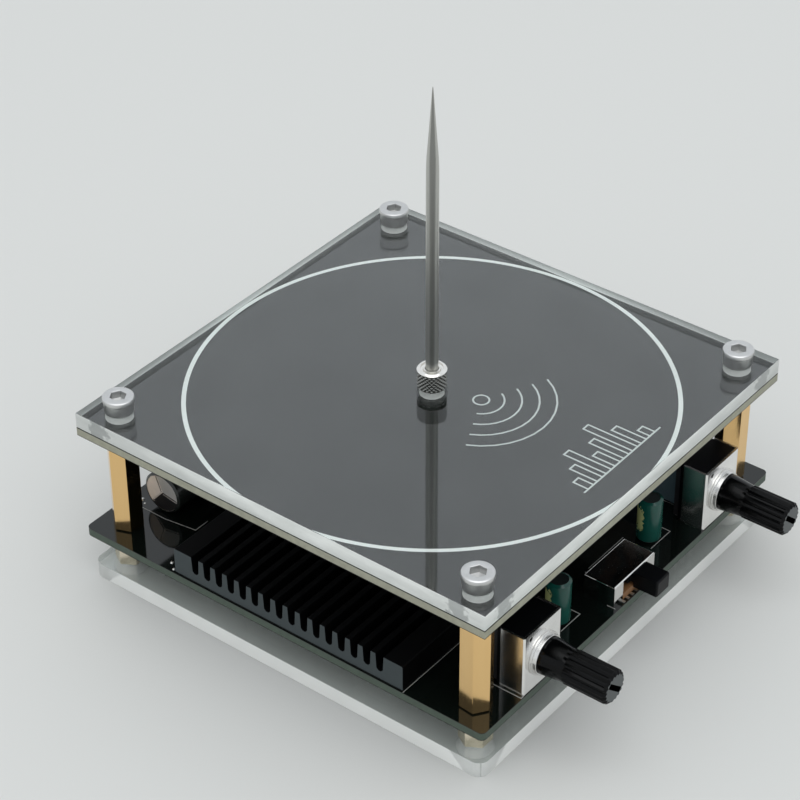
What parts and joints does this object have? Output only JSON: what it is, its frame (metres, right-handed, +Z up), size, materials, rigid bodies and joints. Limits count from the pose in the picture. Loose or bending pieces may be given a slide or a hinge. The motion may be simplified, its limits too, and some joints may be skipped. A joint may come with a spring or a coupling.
{
  "type": "desktop resonant transformer",
  "caption": "Desktop resonant transformer: clear top and bottom plates, stacked circuit boards on brass standoffs, a discharge needle, potentiometers with slotted shafts and a slide switch.",
  "frame": {"origin": "middle of the base plate's underside, on the surface that the object stands on", "axes": "+Z up along the needle; the potentiometer shafts and the switch lever point along -Y; the heat sink lies at the -X edge"},
  "size_m": [0.086, 0.0999, 0.0934],
  "materials": {
    "clear_acrylic": "clear acrylic sheet, frosted laser-cut edges",
    "black_board": "black solder mask on glass-fibre laminate, grey-green edge",
    "steel_screw": "polished stainless steel",
    "zinc_screw": "plated steel",
    "brass_standoff": "turned hexagon brass",
    "copper_track": "etched copper under lacquer",
    "needle_steel": "polished steel",
    "collar_metal": "knurled, bright",
    "terminal_brass": "tinned brass",
    "stamped_steel": "stamped plated sheet",
    "black_plastic": "moulded, satin",
    "brown_laminate": "phenolic paper laminate",
    "bushing_metal": "die cast, turned",
    "shaft_plastic": "moulded shaft",
    "contact_brass": "spring brass",
    "tinned_lead": "tinned copper wire",
    "sink_metal": "black anodised extrusion with cut ends",
    "thermal_rubber": "grey silicone pad",
    "epoxy_black": "moulded epoxy",
    "can_aluminium": "drawn can",
    "green_sleeve": "shrink sleeve with a pale stripe",
    "black_sleeve": "shrink sleeve",
    "bung_rubber": "rubber seal",
    "film_epoxy": "dark blue dipped case",
    "ferrite": "pressed ferrite",
    "coil_wire": "enamelled copper wire",
    "resistor_ceramic": "chip resistor"
  },
  "bodies": {
    "chassis": {"base_plate": "clear_acrylic", "base_screws": "zinc_screw", "lower_standoffs": "brass_standoff", "upper_standoffs": "brass_standoff", "coil_board": "black_board", "primary_track": "copper_track", "secondary_winding": "copper_track", "cover_plate": "clear_acrylic", "cover_screws": "steel_screw", "needle": "needle_steel", "needle_collar": "collar_metal", "needle_terminal": "terminal_brass", "switch_shell": "stamped_steel", "switch_base": "brown_laminate", "switch_feet": "tinned_lead", "switch_contacts": "contact_brass", "thermal_pad": "thermal_rubber", "heat_sink": "sink_metal", "transistor_tabs": "tinned_lead", "transistor_bodies": "epoxy_black", "transistor_leads": "tinned_lead", "sink_screws": "zinc_screw", "front_capacitor_cans": "can_aluminium", "front_capacitor_sleeves": "green_sleeve", "front_capacitor_bungs": "bung_rubber", "front_capacitor_leads": "tinned_lead", "reservoir_can": "can_aluminium", "reservoir_sleeve": "black_sleeve", "reservoir_bung": "bung_rubber", "reservoir_leads": "tinned_lead", "film_capacitor": "film_epoxy", "film_capacitor_leads": "tinned_lead", "power_jack_housing": "black_plastic", "power_jack_pin": "tinned_lead", "power_jack_spring": "contact_brass", "audio_jack_body": "black_plastic", "audio_jack_contacts": "tinned_lead", "driver_chip": "epoxy_black", "driver_chip_legs": "tinned_lead", "choke_core": "ferrite", "choke_winding": "coil_wire", "chip_resistors": "resistor_ceramic", "driver_board": "black_board", "left_pot_frame": "stamped_steel", "left_pot_case": "black_plastic", "left_pot_wafer": "brown_laminate", "left_pot_terminals": "tinned_lead", "left_pot_bushing": "bushing_metal", "right_pot_frame": "stamped_steel", "right_pot_case": "black_plastic", "right_pot_wafer": "brown_laminate", "right_pot_terminals": "tinned_lead", "right_pot_bushing": "bushing_metal"},
    "left_pot_rotor": {"left_pot_shaft": "shaft_plastic", "left_pot_wiper": "contact_brass"},
    "right_pot_rotor": {"right_pot_shaft": "shaft_plastic", "right_pot_wiper": "contact_brass"},
    "switch_slider": {"switch_lever": "black_plastic", "switch_bridge": "contact_brass"}
  },
  "joints": [
    {"name": "left_pot_turn", "type": "hinge", "parent": "chassis", "child": "left_pot_rotor", "pos_m": [-0.0269, -0.0429, 0.0167], "axis": [0, 1, 0], "range_deg": [-150, 150]},
    {"name": "right_pot_turn", "type": "hinge", "parent": "chassis", "child": "right_pot_rotor", "pos_m": [0.0266, -0.0429, 0.0167], "axis": [0, 1, 0], "range_deg": [-150, 150]},
    {"name": "switch_slide", "type": "slide", "parent": "chassis", "child": "switch_slider", "axis": [1, 0, 0], "range_m": [-0.0027, 0]}
  ]
}
